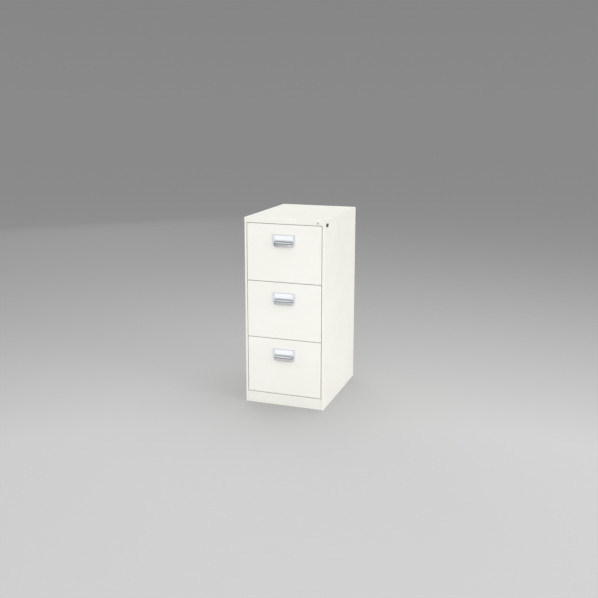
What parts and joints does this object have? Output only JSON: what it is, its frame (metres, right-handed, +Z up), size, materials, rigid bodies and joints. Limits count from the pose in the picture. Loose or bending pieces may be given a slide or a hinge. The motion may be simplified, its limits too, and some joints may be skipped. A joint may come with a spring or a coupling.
{
  "type": "filing cabinet",
  "caption": "Upright sheet-steel filing cabinet with drawers on telescopic ball slides, chrome label-holder pulls, plinth, levelling feet and a side lock.",
  "frame": {"origin": "floor level, midway across the width and midway from the pulls' lips to the back", "axes": "+X to the viewer's right seen from the front, +Y towards the back, +Z up"},
  "size_m": [0.4595, 0.64, 1.05],
  "materials": {
    "case_paint": "fine satin powder coat",
    "front_paint": "fine satin powder coat",
    "inside_paint": "satin powder coat",
    "zinc_steel": "bright zinc plate",
    "pull_chrome": "bright chrome plate",
    "blank_card": "plain card under clear film",
    "lock_dark": "black satin",
    "lock_metal": "dark nickel",
    "guide_nylon": "natural nylon",
    "foot_plastic": "black",
    "plug_plastic": "light grey"
  },
  "bodies": {
    "case": {"left_side_panel": "case_paint", "right_side_panel": "case_paint", "top_panel": "case_paint", "back_panel": "case_paint", "plinth": "case_paint", "bottom_pan": "case_paint", "rear_base_rail": "case_paint", "front_uprights": "inside_paint", "rear_uprights": "inside_paint", "foot_brackets": "zinc_steel", "lock_escutcheon": "lock_dark", "lock_barrel": "lock_dark", "lock_nut": "zinc_steel", "lock_bar_guides": "guide_nylon", "rail_plug": "plug_plastic", "bottom_cabinet_slides": "zinc_steel", "middle_cabinet_slides": "zinc_steel", "top_cabinet_slides": "zinc_steel"},
    "bottom_drawer": {"bottom_front_panel": "front_paint", "bottom_inner_front": "inside_paint", "bottom_tub": "inside_paint", "bottom_handle": "pull_chrome", "bottom_label_card": "blank_card", "bottom_drawer_slides": "zinc_steel", "bottom_lock_catch": "zinc_steel"},
    "bottom_middle_members": {"bottom_middle_slides": "zinc_steel"},
    "bottom_outer_cages": {"bottom_outer_ball_cages": "zinc_steel"},
    "bottom_inner_cages": {"bottom_inner_ball_cages": "zinc_steel"},
    "bottom_follower": {"bottom_follower_plate": "inside_paint"},
    "middle_drawer": {"middle_front_panel": "front_paint", "middle_inner_front": "inside_paint", "middle_tub": "inside_paint", "middle_handle": "pull_chrome", "middle_label_card": "blank_card", "middle_drawer_slides": "zinc_steel", "middle_lock_catch": "zinc_steel"},
    "middle_middle_members": {"middle_middle_slides": "zinc_steel"},
    "middle_outer_cages": {"middle_outer_ball_cages": "zinc_steel"},
    "middle_inner_cages": {"middle_inner_ball_cages": "zinc_steel"},
    "middle_follower": {"middle_follower_plate": "inside_paint"},
    "top_drawer": {"top_front_panel": "front_paint", "top_inner_front": "inside_paint", "top_tub": "inside_paint", "top_handle": "pull_chrome", "top_label_card": "blank_card", "top_drawer_slides": "zinc_steel", "top_lock_catch": "zinc_steel"},
    "top_middle_members": {"top_middle_slides": "zinc_steel"},
    "top_outer_cages": {"top_outer_ball_cages": "zinc_steel"},
    "top_inner_cages": {"top_inner_ball_cages": "zinc_steel"},
    "top_follower": {"top_follower_plate": "inside_paint"},
    "lock": {"lock_plug": "lock_metal", "lock_cam": "zinc_steel"},
    "locking_bar": {"lock_bar": "zinc_steel", "lock_hooks": "zinc_steel"},
    "front_left_foot": {"front_left_foot": "foot_plastic"},
    "front_right_foot": {"front_right_foot": "foot_plastic"},
    "rear_left_foot": {"rear_left_foot": "foot_plastic"},
    "rear_right_foot": {"rear_right_foot": "foot_plastic"}
  },
  "joints": [
    {"name": "bottom_drawer_slide", "type": "slide", "parent": "case", "child": "bottom_drawer", "axis": [0, -1, 0], "range_m": [0, 0.52]},
    {"name": "bottom_middle_members_slide", "type": "slide", "parent": "case", "child": "bottom_middle_members", "axis": [0, -1, 0], "range_m": [0, 0.26]},
    {"name": "bottom_outer_cages_slide", "type": "slide", "parent": "case", "child": "bottom_outer_cages", "axis": [0, -1, 0], "range_m": [0, 0.13]},
    {"name": "bottom_inner_cages_slide", "type": "slide", "parent": "case", "child": "bottom_inner_cages", "axis": [0, -1, 0], "range_m": [0, 0.39]},
    {"name": "bottom_follower_slide", "type": "slide", "parent": "bottom_drawer", "child": "bottom_follower", "axis": [0, -1, 0], "range_m": [0, 0.44]},
    {"name": "middle_drawer_slide", "type": "slide", "parent": "case", "child": "middle_drawer", "axis": [0, -1, 0], "range_m": [0, 0.52]},
    {"name": "middle_middle_members_slide", "type": "slide", "parent": "case", "child": "middle_middle_members", "axis": [0, -1, 0], "range_m": [0, 0.26]},
    {"name": "middle_outer_cages_slide", "type": "slide", "parent": "case", "child": "middle_outer_cages", "axis": [0, -1, 0], "range_m": [0, 0.13]},
    {"name": "middle_inner_cages_slide", "type": "slide", "parent": "case", "child": "middle_inner_cages", "axis": [0, -1, 0], "range_m": [0, 0.39]},
    {"name": "middle_follower_slide", "type": "slide", "parent": "middle_drawer", "child": "middle_follower", "axis": [0, -1, 0], "range_m": [0, 0.44]},
    {"name": "top_drawer_slide", "type": "slide", "parent": "case", "child": "top_drawer", "axis": [0, -1, 0], "range_m": [0, 0.52]},
    {"name": "top_middle_members_slide", "type": "slide", "parent": "case", "child": "top_middle_members", "axis": [0, -1, 0], "range_m": [0, 0.26]},
    {"name": "top_outer_cages_slide", "type": "slide", "parent": "case", "child": "top_outer_cages", "axis": [0, -1, 0], "range_m": [0, 0.13]},
    {"name": "top_inner_cages_slide", "type": "slide", "parent": "case", "child": "top_inner_cages", "axis": [0, -1, 0], "range_m": [0, 0.39]},
    {"name": "top_follower_slide", "type": "slide", "parent": "top_drawer", "child": "top_follower", "axis": [0, -1, 0], "range_m": [0, 0.44]},
    {"name": "lock_turn", "type": "hinge", "parent": "case", "child": "lock", "pos_m": [0.2265, -0.251, 1.02], "axis": [-1, 0, 0], "range_deg": [0, 90]},
    {"name": "lock_bar_lift", "type": "slide", "parent": "case", "child": "locking_bar", "axis": [0, 0, 1], "range_m": [0, 0.0113]},
    {"name": "front_left_foot_screw", "type": "slide", "parent": "case", "child": "front_left_foot", "axis": [0, 0, -1], "range_m": [0, 0.01]},
    {"name": "front_right_foot_screw", "type": "slide", "parent": "case", "child": "front_right_foot", "axis": [0, 0, -1], "range_m": [0, 0.01]},
    {"name": "rear_left_foot_screw", "type": "slide", "parent": "case", "child": "rear_left_foot", "axis": [0, 0, -1], "range_m": [0, 0.01]},
    {"name": "rear_right_foot_screw", "type": "slide", "parent": "case", "child": "rear_right_foot", "axis": [0, 0, -1], "range_m": [0, 0.01]}
  ],
  "couplings": [
    {"joint": "bottom_middle_members_slide", "follows": "bottom_drawer_slide", "ratio": 0.5},
    {"joint": "bottom_outer_cages_slide", "follows": "bottom_drawer_slide", "ratio": 0.25},
    {"joint": "bottom_inner_cages_slide", "follows": "bottom_drawer_slide", "ratio": 0.75},
    {"joint": "middle_middle_members_slide", "follows": "middle_drawer_slide", "ratio": 0.5},
    {"joint": "middle_outer_cages_slide", "follows": "middle_drawer_slide", "ratio": 0.25},
    {"joint": "middle_inner_cages_slide", "follows": "middle_drawer_slide", "ratio": 0.75},
    {"joint": "top_middle_members_slide", "follows": "top_drawer_slide", "ratio": 0.5},
    {"joint": "top_outer_cages_slide", "follows": "top_drawer_slide", "ratio": 0.25},
    {"joint": "top_inner_cages_slide", "follows": "top_drawer_slide", "ratio": 0.75},
    {"joint": "lock_turn", "follows": "lock_bar_lift", "rad_per_m": 138.84}
  ]
}
